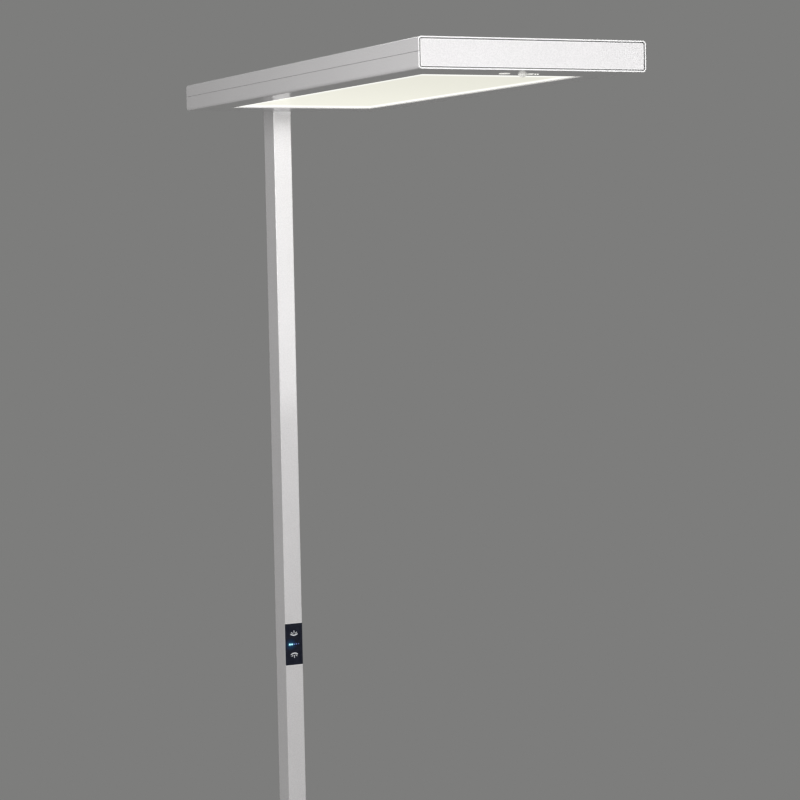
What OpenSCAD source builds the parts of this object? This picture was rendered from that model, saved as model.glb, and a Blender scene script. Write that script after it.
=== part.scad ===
// Office floor lamp: a flat head that glows below and above, carried at its rear end by a
// square-edged mast with a control panel, on a heavy base plate.
// Millimetres, +Z up. The free end of the head points along -Y.
// The origin is on the floor, at the middle of the lamp's footprint.

/* [Overall] */
// Height from the floor to the top of the head
total_h = 1950; // [1700:10:2100]
// Gap between the head and the mast
joint_gap = 0.4; // [0.2:0.1:2]

/* [Head shells] */
// Length of the head along Y
head_l = 800; // [650:10:950]
// Width of the head along X
head_w = 300; // [285:5:360]
// Height of the head's edge
head_h = 37; // [35:0.5:46]
// Outside radius of the folded edges
fold_r = 4; // [2.5:0.5:6]
// Thickness of the folded sheet
sheet_t = 1.5; // [1.2:0.1:2]
// Height of the side seam above the underside
seam_z = 20; // [15:0.5:26]
// Width of the side seam
seam_gap = 0.4; // [0.2:0.1:0.8]
// Height of the locating lip on each side of the seam
lip_h = 5; // [3:0.5:7]
// Thickness of the locating lip
lip_t = 1.2; // [0.8:0.1:2]

/* [Light windows] */
// Width of the downlight and uplight windows
window_w = 217; // [205:1:222]
// Bare rim from each end of the head to the windows
window_margin = 79; // [79:1:110]
// Corner radius of the windows
window_r = 1.5; // [1:0.5:5]
// How far a diffuser reaches past its window
diffuser_lap = 5; // [3:0.5:6]
// Thickness of the diffusers
diffuser_t = 2; // [1.5:0.5:3]
// Thickness of the light guide
guide_t = 3; // [2.5:0.5:4]
// Thickness of the reflector film
film_t = 0.3; // [0.2:0.1:0.5]

/* [Edge lighting] */
// Thickness of a strip's circuit board
strip_t = 1.2; // [0.8:0.1:1.6]
// Spacing of the LEDs on the edge strips
edge_pitch = 12.5; // [10:0.5:25]
// Height of an LED package above its board
led_t = 0.9; // [0.6:0.1:1.2]
// Side of an LED package
led_size = 2.8; // [2:0.1:3.5]
// Gap between the LEDs and the light guide
led_gap = 0.3; // [0.1:0.1:0.6]
// Thickness of the heat-sink rails
rail_t = 6; // [5:0.5:8]

/* [Chassis tray] */
// Thickness of the tray's sheet
tray_t = 1.2; // [1:0.1:1.6]
// Height of the tray's flanges
tray_flange = 12; // [10:1:16]

/* [Uplight] */
// Number of uplight strips on each side of the arm
up_strips = 1; // [1:1:2]
// Width of an uplight strip
up_strip_w = 20; // [12:1:26]
// Spacing of the uplight LEDs
up_pitch = 25; // [20:1:50]
// Height of the lip that holds the upper diffuser
retainer_t = 1.2; // [0.8:0.1:2]

/* [End plates] */
// Width of the groove round an end plate
groove_w = 1.4; // [0.8:0.1:2.5]
// Depth of the groove round an end plate
groove_d = 2.5; // [1.5:0.5:4]
// Thickness of the flange behind the groove
flange_t = 3; // [2:0.5:5]
// Clearance between a flange and the shells
flange_fit = 0.2; // [0.1:0.05:0.3]
// Recess of the end plates from the shells' cut ends
plate_recess = 0.3; // [0:0.1:1]

/* [Drivers] */
// Length of an LED driver along X
driver_l = 86; // [60:1:88]
// Width of an LED driver along Y
driver_w = 52; // [40:1:55]
// Height of an LED driver
driver_h = 20; // [15:0.5:21]

/* [Sensors] */
// Distance of the sensors from the free end
sensor_y = 53; // [48:1:58]
// Distance of the motion sensor from the head's middle line
lens_x = 11.4; // [10:0.1:13]
// Diameter of the motion sensor's lens
lens_d = 11.6; // [10:0.2:13]
// How far the lens stands below the underside
lens_drop = 4.1; // [2:0.1:5]
// Distance of the daylight sensor from the head's middle line
daylight_x = 12.9; // [12:0.1:16]
// Diameter of the daylight sensor's window
daylight_d = 13.6; // [8:0.2:14.6]
// Height of the sensor board above the lower shell's floor
sensor_rise = 7; // [6:0.5:9]

/* [Mast] */
// Width of the mast along X
mast_w = 28; // [28:0.5:34]
// Depth of the mast along Y
mast_d = 40; // [38:0.5:50]
// Wall of the mast
mast_wall = 2.2; // [2:0.1:2.6]
// Outside edge radius of the mast
mast_r = 1.2; // [0.6:0.1:2]
// Diameter of the bores in the mast's screw channels
port_d = 3.5; // [3:0.1:4]
// Wall of the screw channels
port_wall = 1.2; // [1:0.1:1.5]
// Thickness of the mast's top cap
cap_t = 2; // [1:0.5:3]
// How far the cap's plug reaches into the mast
cap_plug = 6; // [3:0.5:7]

/* [Head bracket] */
// Width of the bracket's arm
arm_w = 18; // [14:0.5:20]
// Thickness of the bracket's arm
arm_t = 8; // [6:0.5:10]
// How far the arm reaches into the head
arm_reach = 150; // [120:5:200]
// Height of the bracket's tenon in the mast
tenon_h = 130; // [90:5:200]
// Clearance of the bracket in the mast and the end plate
bracket_fit = 0.3; // [0.2:0.1:0.6]

/* [Control panel] */
// Height of the panel's middle above the floor
panel_z = 1108; // [900:10:1300]
// Height of the panel's fascia
fascia_h = 63.4; // [62:0.2:80]
// Thickness of the fascia
fascia_t = 1.5; // [1:0.1:1.8]
// How far the fascia stands out of the mast
fascia_proud = 0.2; // [0:0.1:0.5]
// Ledge that the fascia rests on at its top and bottom
ledge = 2; // [1:0.5:2.5]
// Width of a key
key_w = 18; // [14:0.5:18.5]
// Height of a key
key_h = 19; // [14:0.5:19.5]
// Distance of a key's middle from the panel's middle
key_offset = 17; // [16:0.1:17.5]
// Gap round a key
key_gap = 0.3; // [0.2:0.05:0.4]
// Travel of a key
key_travel = 0.5; // [0.3:0.1:0.8]
// Number of level lights
level_count = 5; // [3:1:5]
// Spacing of the level lights
level_pitch = 3.5; // [2.5:0.1:4]
// Diameter of the level lights
level_d = 1.5; // [1:0.1:1.8]

/* [Base] */
// Width of the base plate along X
base_w = 300; // [240:10:400]
// Length of the base plate along Y
base_l = 500; // [420:10:600]
// Thickness of the base plate
base_t = 10; // [8:0.5:15]
// Corner radius of the base plate
base_r = 12; // [6:1:30]
// Chamfer round the top of the base plate
base_chamfer = 1.5; // [0.5:0.5:3]
// How far the base plate reaches behind the mast
base_back = 40; // [30:1:80]
// Diameter of the rubber feet
foot_d = 24; // [16:1:30]
// How far the feet stand below the base plate
foot_h = 2; // [1:0.5:4]
// How deep the feet sit in the base plate
foot_sink = 1; // [0.5:0.5:3]

/* [Mains entry] */
// Height of the cable entry above the base plate
entry_z = 40; // [30:1:60]
// Diameter of the hole for the mains cable
entry_bore = 7; // [6:0.1:7.4]
// Diameter of the bushing in the mast's wall
bushing_d = 10.6; // [10:0.1:10.8]
// Diameter of the riser cable inside the mast
riser_d = 6.5; // [5:0.1:6.8]

/* [Hidden] */
$fn = 48;
eps = 0.01;

// levels, from the floor up
base_z = foot_h;
base_top = base_z + base_t;
head_z = total_h - head_h;
floor_z = head_z + sheet_t;
roof_z = total_h - sheet_t;
tray_z = floor_z + diffuser_t + guide_t + film_t;
deck_z = tray_z + tray_t;
mast_top = total_h - cap_t;

// stations along Y, from the free end to the rear
depth = head_l + joint_gap + mast_d + base_back;
head_y0 = -depth / 2;
head_y1 = head_y0 + head_l;
mast_y0 = head_y1 + joint_gap;
mast_y1 = mast_y0 + mast_d;
mast_yc = (mast_y0 + mast_y1) / 2;
base_y1 = mast_y1 + base_back;
base_yc = base_y1 - base_l / 2;
head_yc = (head_y0 + head_y1) / 2;
window_l = head_l - 2 * window_margin;

// the head's inner widths
inner_w = head_w - 2 * sheet_t;
diffuser_w = window_w + 2 * diffuser_lap;
diffuser_l = window_l + 2 * diffuser_lap;
part_fit = 0.2;
strip_x = diffuser_w / 2 + part_fit;
guide_w = 2 * (strip_x - led_t - led_gap);
rail_x = strip_x + strip_t;
tray_w = 2 * (rail_x + rail_t);
strip_h = tray_z - floor_z;
retainer_w = 3;

// end plates
plate_in = plate_recess + groove_d + flange_t;
plate_w = head_w - 2 * (sheet_t + groove_w);
plate_h = head_h - 2 * (sheet_t + groove_w);
plate_r = 1;
flange_w = inner_w - 2 * flange_fit;
flange_h = head_h - 2 * (sheet_t + flange_fit);
tray_y0 = head_y0 + plate_in;
tray_y1 = head_y1 - plate_in;

// cover posts stand in the side pockets and join the two shells
post_d = 7;
post_x = (tray_w / 2 + inner_w / 2) / 2;
post_foot_d = post_d + 4;
post_foot_t = 1.5;
post_end = 26;
post_ys = [head_y0 + post_end, head_yc, head_y1 - post_end];
cover_screw_d = 3;
cover_screw_head = 5.6;
cover_screw_l = 10;

// fasteners
screw_slack = 0.1;
stud_d = 4;
stud_x = 60;
stud_z = tray_z + tray_flange / 2 + 0.6;
nut_w = 7;
nut_t = 3.2;
tray_screw_d = 3;
tray_screw_head = 5.5;
tray_screw_head_h = 2;
tray_screw_bite = 4;
tray_screw_in = 20;
arm_bolt_d = 5;
arm_bolt_head = 9.5;
arm_bolt_head_h = 2.8;
arm_bolt_ys = [head_y1 - arm_reach + 12, head_y1 - arm_reach + 40];
bracket_screw_d = 6;
bracket_screw_head = 10.5;
base_screw_l = 24;
socket_share = 0.62;
socket_depth = 1.2;

// the mast's section
cavity_w = mast_w - 2 * mast_wall;
cavity_d = mast_d - 2 * mast_wall;
port_r = port_d / 2 + port_wall;
port_x = cavity_w / 2 - port_r;
port_y = cavity_d / 2 - port_r;

// bracket, and the shaft in it that the cables pass through
tenon_w = cavity_w - 2 * bracket_fit;
tenon_d = cavity_d - 4 * port_r - 2 * bracket_fit;
rib_w = 2 * (port_x - port_r - bracket_fit);
arm_z = deck_z;
arm_top = arm_z + arm_t;
slot_w = arm_w + 2 * bracket_fit;
cable_gap = 0.3;
riser_r = riser_d / 2;
lead_r = 1.5;
bend_r = 12;
shaft_w = 12;
shaft_back = 5.6;
shaft_l = 14.2;
bracket_screw_zs = [arm_top - tenon_h + 25, arm_top - 35];
riser_x = -shaft_w / 2 + cable_gap + riser_r;
lead_x = shaft_w / 2 - 2 * cable_gap - lead_r;
riser_y = mast_yc + tenon_d / 2 - shaft_back - 2 * cable_gap - riser_r;
riser_z = arm_top + cable_gap + riser_r;
slot_top = riser_z + riser_r + 1;

// drivers, their plug and the wiring in the head
driver_x0 = arm_w / 2 + 8;
driver_y1 = tray_y1 - tray_t - 8;
driver_y0 = driver_y1 - driver_w;
driver_step = 9;
driver_step_z = deck_z + driver_h * 0.55;
plug_w = 16;
plug_l = 24;
plug_h = riser_d + 2;
plug_y0 = driver_y0 + 14;
plug_y1 = plug_y0 + plug_l;
plug_lead_in = 8;
wire_r = 1;
strip_wire_r = 0.5;
strip_lead_x = 3;
edge_lead_y = driver_y0 + 8;
edge_lead_z = deck_z + 5;
edge_turn = 3;
sensor_cable_r = 1.5;
sensor_turn = 6;
sensor_cable_in = 5;

// control panel stack, as depths behind the mast's front face
fascia_back = fascia_t - fascia_proud;
flange_gap = 0.3;
fascia_fit = 0.15;
key_flange_t = 0.8;
key_flange_out = 0.8;
plunger_y = 5;
plunger_d = 3;
plunger_gap = 0.3;
plunger_depth = 1;
key_r = 1;
stem_d = 5;
level_hole_d = level_d + 0.1;
guide_bar = [3, 4.5];
guide_leg = 1;
leg_x = (level_count - 2) * level_pitch / 2;
switch_y = 6.4;
switch_h = 3.1;
switch_w = 6;
board_y = switch_y + switch_h;
board_t = 1.6;
housing_wall = 1.2;
housing_d = board_y + board_t + 2.7;
housing_w = cavity_w - 2 * part_fit;
opening_h = fascia_h - 2 * ledge;
housing_h = opening_h - 2 * part_fit;
pad = 4;

// terminal block and mains entry
bushing_rim = bushing_d + 5;
bushing_rim_t = 2.5;
bushing_in = 5;
barb = 0.35;
terminal_w = 16;
terminal_d = 14;
terminal_h = 36;
terminal_z = base_top + entry_z + 26;
core_pitch = 4.5;
core_w = 2.5;

// sensor board, with heights above the head's underside
board_z = sheet_t + sensor_rise;
board_x0 = -35;
board_x1 = 42;
board_l = 32;
socket_w = 8;
socket_h = 5;
standoff_d = 5;
standoff_in = 4;
lens_wall = 0.8;
lens_step = 0.2;
rim_t = 0.8;
rim_out = 0.6;
can_d = 8.2;
can_h = 4;
can_rim_t = 0.8;
window_proud = 0.5;
// status window beside the lens, then the status lights
status_l = 6.6;
status_w = 5;
status_r = 0.8;
status_lap = 0.4;
status_away = 1.4;
status_x = lens_x + lens_d / 2 + status_away + status_l / 2;
light_d = 2;
light_pitch = 3.2;
light_proud = 0.8;
light_lap = 0.6;
light_away = 5.1;
lights_x = status_x + status_l / 2 + light_away;

foot_bevel = 0.6;
foot_in = 30;
foot_xs = [foot_in - base_w / 2, base_w / 2 - foot_in];
foot_ys = [base_yc - base_l / 2 + foot_in, base_yc, base_yc + base_l / 2 - foot_in];

// ---- shapes that repeat ----

// rectangle with round corners, centred
module round_rect(w, h, r) {
    square([w - 2 * r, h], center = true);
    square([w, h - 2 * r], center = true);
    for (sx = [-1, 1], sy = [-1, 1])
        translate([sx * (w / 2 - r), sy * (h / 2 - r)]) circle(r);
}

// extrudes an X-Z outline along Y, from y0 to y1
module along_y(y0, y1) {
    translate([0, y1, 0]) rotate([90, 0, 0]) linear_extrude(y1 - y0) children();
}

// block between two corners
module block(a, b) {
    translate(a) cube(b - a);
}

// plate with round corners and a chamfered top edge, centred on X and Y, standing on z = 0
module chamfered_plate(w, l, h, r, c) {
    linear_extrude(h - c) round_rect(w, l, r);
    translate([0, 0, h - c]) {
        for (sx = [-1, 1], sy = [-1, 1])
            translate([sx * (w / 2 - r), sy * (l / 2 - r), 0]) cylinder(h = c, r1 = r, r2 = r - c);
        translate([0, l / 2 - r, 0]) rotate([90, 0, 0]) linear_extrude(l - 2 * r)
            polygon([[-w / 2, 0], [w / 2, 0], [w / 2 - c, c], [c - w / 2, c]]);
        translate([r - w / 2, 0, 0]) rotate([90, 0, 90]) linear_extrude(w - 2 * r)
            polygon([[-l / 2, 0], [l / 2, 0], [l / 2 - c, c], [c - l / 2, c]]);
    }
}

// countersunk screw hanging from z = 0, with its head flush
module flat_screw(d, head_d, len) {
    head_t = (head_d - d) / 2;
    translate([0, 0, -head_t]) cylinder(h = head_t, d1 = d, d2 = head_d);
    translate([0, 0, -len]) cylinder(h = len - head_t + eps, d = d);
}

// clearance hole and countersink for a flat_screw
module flat_screw_hole(d, head_d, len, slack) {
    head_t = (head_d - d) / 2;
    translate([0, 0, -head_t]) cylinder(h = head_t, d1 = d + 2 * slack, d2 = head_d + 2 * slack);
    translate([0, 0, -eps]) cylinder(h = 1, d = head_d + 2 * slack);
    translate([0, 0, -len]) cylinder(h = len - head_t + eps, d = d + 2 * slack);
}

// pan-head screw pointing down, its head resting on z = 0
module pan_screw(d, head_d, head_h, len) {
    difference() {
        cylinder(h = head_h, d = head_d);
        translate([0, 0, head_h - socket_depth])
            cylinder(h = socket_depth + 1, d = d * socket_share, $fn = 6);
    }
    translate([0, 0, -len]) cylinder(h = len + eps, d = d);
}

// ---- base ----

module at_base_screws() {
    for (sx = [-1, 1], sy = [-1, 1])
        translate([sx * port_x, mast_yc + sy * port_y, base_z]) children();
}

module at_feet() {
    for (x = foot_xs, y = foot_ys) translate([x, y, 0]) children();
}

module base_plate() {
    color("silver") difference() {
        translate([0, base_yc, base_z]) chamfered_plate(base_w, base_l, base_t, base_r, base_chamfer);
        at_base_screws() mirror([0, 0, 1])
            flat_screw_hole(port_d, port_d * 2, base_t + 1, screw_slack);
        at_feet() cylinder(h = foot_h + foot_sink, d = foot_d + 2 * screw_slack);
    }
}

module rubber_feet() {
    color("dimgray") at_feet() {
        cylinder(h = foot_h + foot_sink - foot_bevel, d = foot_d);
        translate([0, 0, foot_h + foot_sink - foot_bevel])
            cylinder(h = foot_bevel, d1 = foot_d, d2 = foot_d - 2 * foot_bevel);
    }
}

module base_screws() {
    color("gainsboro") at_base_screws() mirror([0, 0, 1])
        flat_screw(port_d - 2 * screw_slack, port_d * 2 - 2 * screw_slack, base_screw_l);
}

// ---- mast ----

module mast_section() {
    difference() {
        union() {
            difference() {
                round_rect(mast_w, mast_d, mast_r);
                square([cavity_w, cavity_d], center = true);
            }
            // each screw channel is a ring that stands in a corner on a solid web
            for (sx = [-1, 1], sy = [-1, 1]) translate([sx * port_x, sy * port_y]) {
                circle(port_r);
                translate([sx * port_r / 2, sy * port_r / 2]) square(port_r, center = true);
            }
        }
        for (sx = [-1, 1], sy = [-1, 1])
            translate([sx * port_x, sy * port_y]) circle(d = port_d);
    }
}

// the slot for the bracket's arm and the cables
module arm_slot(y0, y1, bottom, top) {
    block([-slot_w / 2, y0, bottom], [slot_w / 2, y1, top]);
}

module at_bracket_screws() {
    for (z = bracket_screw_zs) translate([0, mast_y1, z]) rotate([-90, 0, 0]) children();
}

module mast_tube() {
    color("gainsboro") difference() {
        translate([0, mast_yc, base_top]) linear_extrude(mast_top - base_top) mast_section();
        // open at the top, so that the bracket drops in
        arm_slot(mast_y0 - 1, mast_y0 + mast_wall + 2 * port_r + 1, arm_z, mast_top + 1);
        at_bracket_screws() translate([0, 0, -mast_wall - 1])
            cylinder(h = mast_wall + 2, d = bracket_screw_d + 2 * screw_slack);
        // recess, opening and milled pocket for the control panel
        panel_block(mast_w + 2, fascia_h + 2 * fascia_fit, -1, fascia_back);
        panel_block(cavity_w, opening_h, 0, mast_wall + 2 * port_r + 1);
        translate([0, mast_y1, base_top + entry_z]) rotate([90, 0, 0])
            translate([0, 0, -1]) cylinder(h = mast_wall + 2, d = bushing_d + 2 * screw_slack);
    }
}

// section that fits the mast's cavity between its screw channels
module spigot_section() {
    square([tenon_w, tenon_d], center = true);
    translate([-rib_w / 2, 0]) square([rib_w, cavity_d / 2 - bracket_fit]);
}

// block behind the mast's front face, centred on the control panel
module panel_block(w, h, near, far) {
    translate([0, mast_y0, panel_z]) block([-w / 2, near, -h / 2], [w / 2, far, h / 2]);
}

module mast_cap() {
    color("silver") {
        translate([0, mast_yc, mast_top]) chamfered_plate(mast_w, mast_d, cap_t, mast_r, cap_t / 5);
        translate([0, mast_yc, mast_top - cap_plug]) linear_extrude(cap_plug) spigot_section();
    }
}

module mains_bushing() {
    inside = mast_wall + bushing_in;
    color("black") translate([0, mast_y1, base_top + entry_z]) rotate([-90, 0, 0])
        rotate_extrude() difference() {
            union() {
                translate([0, -inside]) square([bushing_d / 2, inside]);
                // barbs behind the wall
                translate([0, -mast_wall - 2.2]) square([bushing_d / 2 + barb, 2]);
                square([bushing_rim / 2, bushing_rim_t - 1]);
                translate([0, bushing_rim_t - 1]) square([bushing_rim / 2 - 1, 1]);
            }
            translate([-1, -inside - 1]) square([1 + entry_bore / 2, inside + bushing_rim_t + 2]);
        }
}

module terminal_block() {
    x0 = -cavity_w / 2;
    color("whitesmoke") difference() {
        block([x0, mast_yc - terminal_d / 2, terminal_z],
              [x0 + terminal_w, mast_yc + terminal_d / 2, terminal_z + terminal_h]);
        // one lever slot for each core
        for (i = [-1:1]) translate([x0 + terminal_w - 2, mast_yc + i * core_pitch - core_w / 2, terminal_z + 8])
            cube([3, core_w, 14]);
    }
}

// quarter bend that starts upward at the origin and ends forward
module bend(bend_radius, r) {
    translate([0, -bend_radius, 0]) rotate([90, 0, 90])
        rotate_extrude(angle = 90) translate([bend_radius, 0]) circle(r);
}

// cable that rises in the mast from z0 and turns forward over the arm to the plug
module riser(x, r, z0) {
    translate([x, riser_y, z0]) cylinder(h = riser_z - bend_r - z0, r = r);
    translate([x, riser_y, riser_z - bend_r]) bend(bend_r, r);
    translate([x, 0, riser_z]) along_y(plug_y1, riser_y - bend_r) circle(r);
}

module riser_cable() {
    color("dimgray") riser(riser_x, riser_r, terminal_z + terminal_h);
}

// the lead leaves the control panel's housing to the rear and turns up
module control_lead() {
    y0 = mast_y0 + housing_d - housing_wall;
    elbow = 4;
    color("gray") {
        translate([lead_x, 0, panel_z]) along_y(y0, riser_y - elbow) circle(lead_r);
        translate([lead_x, riser_y, panel_z + elbow]) mirror([0, 0, 1]) bend(elbow, lead_r);
        riser(lead_x, lead_r, panel_z + elbow);
    }
}

// ---- bracket between mast and head ----

module head_bracket() {
    tenon_y0 = mast_yc - tenon_d / 2;
    shaft_y1 = mast_yc + tenon_d / 2 - shaft_back;
    color("slategray") difference() {
        union() {
            translate([0, mast_yc, arm_top - tenon_h]) linear_extrude(tenon_h) spigot_section();
            block([-arm_w / 2, head_y1 - arm_reach, arm_z], [arm_w / 2, tenon_y0 + 1, arm_top]);
        }
        // shaft for the cables
        block([-shaft_w / 2, shaft_y1 - shaft_l, arm_top - tenon_h - 1],
              [shaft_w / 2, shaft_y1, arm_top + 1]);
        at_arm_bolts() cylinder(h = 4 * arm_t, d = arm_bolt_d + 2 * screw_slack, center = true);
        at_bracket_screws() translate([0, 0, -mast_d / 2])
            cylinder(h = mast_d / 2, d = bracket_screw_d);
    }
}

module at_arm_bolts() {
    for (y = arm_bolt_ys) translate([0, y, arm_top]) children();
}

module arm_bolts() {
    color("gainsboro") at_arm_bolts() 
        pan_screw(arm_bolt_d, arm_bolt_head, arm_bolt_head_h, arm_t + tray_t - 0.2);
}

// button-head screws that pull the bracket's rib against the mast's rear wall
module bracket_screws() {
    reach = mast_wall + bracket_fit + 2 * port_r + shaft_back - 2;
    color("silver") at_bracket_screws() difference() {
        union() {
            cylinder(h = 2, d = bracket_screw_head);
            translate([0, 0, 2]) cylinder(h = 1.2, d1 = bracket_screw_head, d2 = bracket_screw_head - 3);
            translate([0, 0, -reach]) cylinder(h = reach, d = bracket_screw_d);
        }
        translate([0, 0, 1]) cylinder(h = 3, d = bracket_screw_d * socket_share, $fn = 6);
    }
}

// ---- control panel ----

module at_keys() {
    for (s = [-1, 1]) translate([0, mast_y0, panel_z + s * key_offset]) children();
}

module at_level_lights() {
    for (i = [0:level_count - 1])
        translate([(i - (level_count - 1) / 2) * level_pitch, mast_y0, panel_z]) children();
}

// rounded block that faces the front, from depth near to depth far
module facing(w, h, r, near, far) {
    along_y(near, far) round_rect(w, h, r);
}

module control_fascia() {
    color([0.05, 0.06, 0.09]) difference() {
        // as wide as the mast, with the same rounded edges
        intersection() {
            panel_block(mast_w + 2, fascia_h, -fascia_proud, fascia_back);
            translate([0, mast_yc - fascia_proud, panel_z - fascia_h]) linear_extrude(2 * fascia_h)
                round_rect(mast_w, mast_d, mast_r);
        }
        at_keys() facing(key_w + 2 * key_gap, key_h + 2 * key_gap, key_r + key_gap, -1, fascia_back + 1);
        at_level_lights() along_y(-1, fascia_back + 1) circle(d = level_hole_d);
    }
}

// key with a flange that stops it behind the fascia, and a stem on its back
module key(s) {
    flange_y = fascia_back + flange_gap;
    color([0.05, 0.06, 0.09]) translate([0, mast_y0, panel_z + s * key_offset]) {
        facing(key_w, key_h, key_r, -fascia_proud, flange_y);
        facing(key_w + 2 * key_flange_out, key_h + 2 * key_flange_out, key_r,
               flange_y, flange_y + key_flange_t);
        along_y(flange_y + key_flange_t, plunger_y) circle(d = stem_d);
    }
}

module plunger(s) {
    color("orange") translate([0, mast_y0, panel_z + s * key_offset])
        along_y(plunger_y, switch_y + plunger_depth) circle(d = plunger_d);
}

module control_board() {
    board_w = housing_w - 2 * housing_wall - 2 * part_fit;
    board_h = housing_h - 2 * housing_wall - 2 * part_fit;
    color("darkgreen") {
        difference() {
            union() {
                translate([0, mast_y0, panel_z])
                    block([-board_w / 2, board_y, -board_h / 2], [board_w / 2, board_y + board_t, board_h / 2]);
                at_keys() block([-switch_w / 2, switch_y, -switch_w / 2],
                                [switch_w / 2, board_y, switch_w / 2]);
            }
            at_keys() along_y(switch_y - 1, switch_y + plunger_depth + key_travel + plunger_gap)
                circle(d = plunger_d + 2 * plunger_gap);
        }
        at_level_lights() block([-0.8, board_y - 0.7, -0.5], [0.8, board_y, 0.5]);
    }
}

module level_light_guide() {
    color("aliceblue") {
        at_level_lights() along_y(-fascia_proud, board_y - 1) circle(d = level_d);
        translate([0, mast_y0, panel_z])
            block([-(level_count - 1) * level_pitch / 2, guide_bar[0], -level_d / 2],
                  [(level_count - 1) * level_pitch / 2, guide_bar[1], level_d / 2]);
        // two legs between the lights carry the guide on the board
        for (s = [-1, 1]) translate([s * leg_x, mast_y0, panel_z])
            block([-guide_leg / 2, guide_bar[0], -level_d / 2], [guide_leg / 2, board_y, level_d / 2]);
    }
}

module control_housing() {
    color("black") translate([0, mast_y0, panel_z]) difference() {
        block([-housing_w / 2, fascia_back, -housing_h / 2], [housing_w / 2, housing_d, housing_h / 2]);
        difference() {
            block([housing_wall - housing_w / 2, 0, housing_wall - housing_h / 2],
                  [housing_w / 2 - housing_wall, housing_d - housing_wall, housing_h / 2 - housing_wall]);
            // pads that carry the board
            for (sx = [-1, 1], sz = [-1, 1])
                translate([sx * (housing_w - 2 * housing_wall) / 2, 0, sz * (housing_h - 2 * housing_wall) / 2])
                    block([-pad, board_y + board_t, -pad], [pad, housing_d, pad]);
        }
        // way out for the lead
        translate([lead_x, 0, 0]) block([-2, housing_d - housing_wall - 1, -2], [2, housing_d + 1, 2]);
    }
}

// ---- head: shells and end plates ----

module head_section() {
    translate([0, head_z + head_h / 2]) difference() {
        round_rect(head_w, head_h, fold_r);
        round_rect(inner_w, head_h - 2 * sheet_t, fold_r - sheet_t);
    }
}

module window_cut(z) {
    translate([0, head_yc, z]) linear_extrude(3 * sheet_t, center = true)
        round_rect(window_w, window_l, window_r);
}

// lip on the lower shell that guides the upper shell
module seam_lip() {
    z = head_z + seam_z;
    for (s = [-1, 1]) {
        translate([s * (inner_w / 2 - part_fit - lip_t / 2), z]) square([lip_t, 2 * lip_h], center = true);
        translate([s * (inner_w / 2 - lip_t / 2), z - seam_gap / 2 - lip_h / 2 - 0.5])
            square([lip_t, lip_h - 1], center = true);
    }
}

module lower_shell() {
    color("silver") difference() {
        along_y(head_y0, head_y1) {
            intersection() {
                head_section();
                translate([-head_w, head_z]) square([2 * head_w, seam_z - seam_gap / 2]);
            }
        }
        window_cut(head_z);
        at_sensor(lens_x) cylinder(h = 3 * sheet_t, d = lens_d + 2 * part_fit, center = true);
        at_sensor(-daylight_x) cylinder(h = 3 * sheet_t, d = daylight_d + 2 * part_fit, center = true);
        at_sensor(status_x) linear_extrude(3 * sheet_t, center = true) status_outline(part_fit);
        at_lights() cylinder(h = 3 * sheet_t, d = light_d + 2 * part_fit, center = true);
    }
    color("silver") along_y(head_y0 + plate_in + 1, head_y1 - plate_in - 1) seam_lip();
}

module upper_shell() {
    color("silver") difference() {
        along_y(head_y0, head_y1) intersection() {
            head_section();
            translate([-head_w, head_z + seam_z + seam_gap / 2]) square([2 * head_w, head_h]);
        }
        window_cut(total_h);
        at_posts(total_h) flat_screw_hole(cover_screw_d, cover_screw_head, 2 * sheet_t, screw_slack);
    }
}

// runs in a frame whose +Y points from an end plate into the head
module at_end(s) {
    translate([0, s < 0 ? head_y0 : head_y1, 0]) mirror([0, s < 0 ? 0 : 1, 0]) children();
}

module at_studs() {
    for (x = [-stud_x, stud_x]) translate([x, 0, stud_z]) children();
}

// inset end plate with a flange behind its groove and two studs for the tray
module end_plate(s) {
    at_end(s) {
        translate([0, 0, head_z + head_h / 2]) {
            facing(plate_w, plate_h, plate_r, plate_recess, plate_recess + groove_d);
            facing(flange_w, flange_h, fold_r - sheet_t - flange_fit, plate_recess + groove_d, plate_in);
        }
        at_studs() along_y(plate_in, plate_in + tray_t + nut_t + 2) circle(d = stud_d);
    }
}

module front_end_plate() {
    color("gainsboro") end_plate(-1);
}

module rear_end_plate() {
    color("gainsboro") difference() {
        end_plate(1);
        arm_slot(head_y1 - plate_in - 1, head_y1 + 1, arm_z - bracket_fit, slot_top);
    }
}

module end_plate_nuts() {
    color("silver") for (s = [-1, 1]) at_end(s) at_studs()
        along_y(plate_in + tray_t, plate_in + tray_t + nut_t) difference() {
            circle(d = nut_w / cos(30), $fn = 6);
            circle(d = stud_d);
        }
}

module at_posts(z) {
    for (s = [-1, 1], y = post_ys) translate([s * post_x, y, z]) children();
}

module cover_posts() {
    color("silver") at_posts(floor_z) difference() {
        union() {
            cylinder(h = roof_z - floor_z, d = post_d);
            cylinder(h = post_foot_t, d = post_foot_d);
        }
        translate([0, 0, roof_z - floor_z - cover_screw_l]) cylinder(h = cover_screw_l + 1, d = cover_screw_d);
    }
}

module cover_screws() {
    color("gainsboro") at_posts(total_h)
        flat_screw(cover_screw_d - 2 * screw_slack, cover_screw_head - 2 * screw_slack, cover_screw_l);
}

// ---- head: light engine ----

module downlight_diffuser() {
    color("ivory") translate([0, head_yc, floor_z]) linear_extrude(diffuser_t)
        round_rect(diffuser_w, diffuser_l, window_r + diffuser_lap);
}

module light_guide() {
    color("azure") translate([0, head_yc, floor_z + diffuser_t]) linear_extrude(guide_t)
        square([guide_w, diffuser_l], center = true);
}

module reflector_film() {
    color("white") translate([0, head_yc, floor_z + diffuser_t + guide_t]) linear_extrude(film_t)
        square([guide_w, diffuser_l], center = true);
}

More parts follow.
